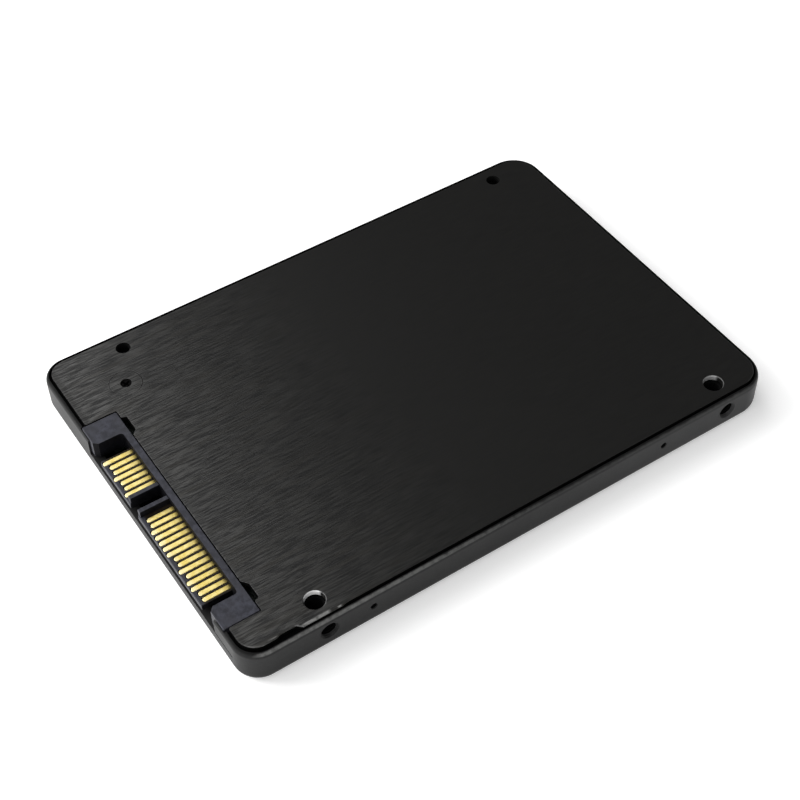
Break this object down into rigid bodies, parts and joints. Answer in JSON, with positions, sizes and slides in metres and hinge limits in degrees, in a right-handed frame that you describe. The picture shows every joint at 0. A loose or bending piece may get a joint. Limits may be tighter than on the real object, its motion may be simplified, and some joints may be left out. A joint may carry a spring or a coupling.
{
  "type": "solid state drive",
  "caption": "Low flat 2.5-inch solid state drive: a satin metal shell, a brushed black mounting plate with screw holes, and an edge plug of gold contacts at one end.",
  "frame": {"origin": "centre of the drive's footprint, on the label face that it lies on", "axes": "+Z out of the mounting plate, +Y along the length away from the connector, +X across the width towards the power end of the connector"},
  "size_m": [0.0698, 0.1, 0.007],
  "materials": {
    "coated_shell": "die-cast aluminium shell with a fine satin charcoal coat",
    "label_film": "blank satin label film",
    "brushed_plate": "black anodised sheet, brushed along the length",
    "black_steel": "black oxide steel screw, smooth",
    "connector_plastic": "dark glass-filled plastic, matte with a fine mottle",
    "gold_plating": "gold-plated copper alloy, bright",
    "tin_plating": "tin or nickel plated, satin",
    "board_black": "glass-fibre board under black solder mask",
    "chip_epoxy": "moulded black epoxy",
    "pad_grey": "soft grey silicone heat pad",
    "ferrite": "matt grey ferrite",
    "tantalum": "yellow moulded epoxy",
    "ceramic": "tan fired ceramic",
    "lamp_plastic": "clear lamp package"
  },
  "bodies": {
    "root": {"case_shell": "coated_shell", "label_sticker": "label_film", "mounting_plate": "brushed_plate", "plate_screw": "black_steel", "connector_housing": "connector_plastic", "signal_contact_1": "gold_plating", "signal_contact_2": "gold_plating", "signal_contact_3": "gold_plating", "signal_contact_4": "gold_plating", "signal_contact_5": "gold_plating", "signal_contact_6": "gold_plating", "signal_contact_7": "gold_plating", "power_contact_1": "gold_plating", "power_contact_2": "gold_plating", "power_contact_3": "gold_plating", "power_contact_4": "gold_plating", "power_contact_5": "gold_plating", "power_contact_6": "gold_plating", "power_contact_7": "gold_plating", "power_contact_8": "gold_plating", "power_contact_9": "gold_plating", "power_contact_10": "gold_plating", "power_contact_11": "gold_plating", "power_contact_12": "gold_plating", "power_contact_13": "gold_plating", "power_contact_14": "gold_plating", "power_contact_15": "gold_plating", "board_lock_1": "tin_plating", "board_lock_2": "tin_plating", "board_screw_1": "tin_plating", "board_screw_2": "tin_plating", "board_screw_3": "tin_plating", "clock_crystal": "tin_plating", "circuit_board": "board_black", "flash_chip_1": "chip_epoxy", "flash_chip_2": "chip_epoxy", "flash_chip_3": "chip_epoxy", "flash_chip_4": "chip_epoxy", "flash_chip_5": "chip_epoxy", "flash_chip_6": "chip_epoxy", "flash_chip_7": "chip_epoxy", "flash_chip_8": "chip_epoxy", "controller_chip": "chip_epoxy", "memory_cache_chip": "chip_epoxy", "boot_memory_chip": "chip_epoxy", "voltage_regulator": "chip_epoxy", "activity_lamp": "lamp_plastic", "power_inductor_1": "ferrite", "power_inductor_2": "ferrite", "tantalum_capacitor_1": "tantalum", "tantalum_capacitor_2": "tantalum", "tantalum_capacitor_3": "tantalum", "tantalum_capacitor_4": "tantalum", "ceramic_capacitor_1": "ceramic", "ceramic_capacitor_2": "ceramic", "ceramic_capacitor_3": "ceramic", "ceramic_capacitor_4": "ceramic", "controller_pad": "pad_grey", "flash_pad_1": "pad_grey", "flash_pad_2": "pad_grey"}
  },
  "joints": []
}
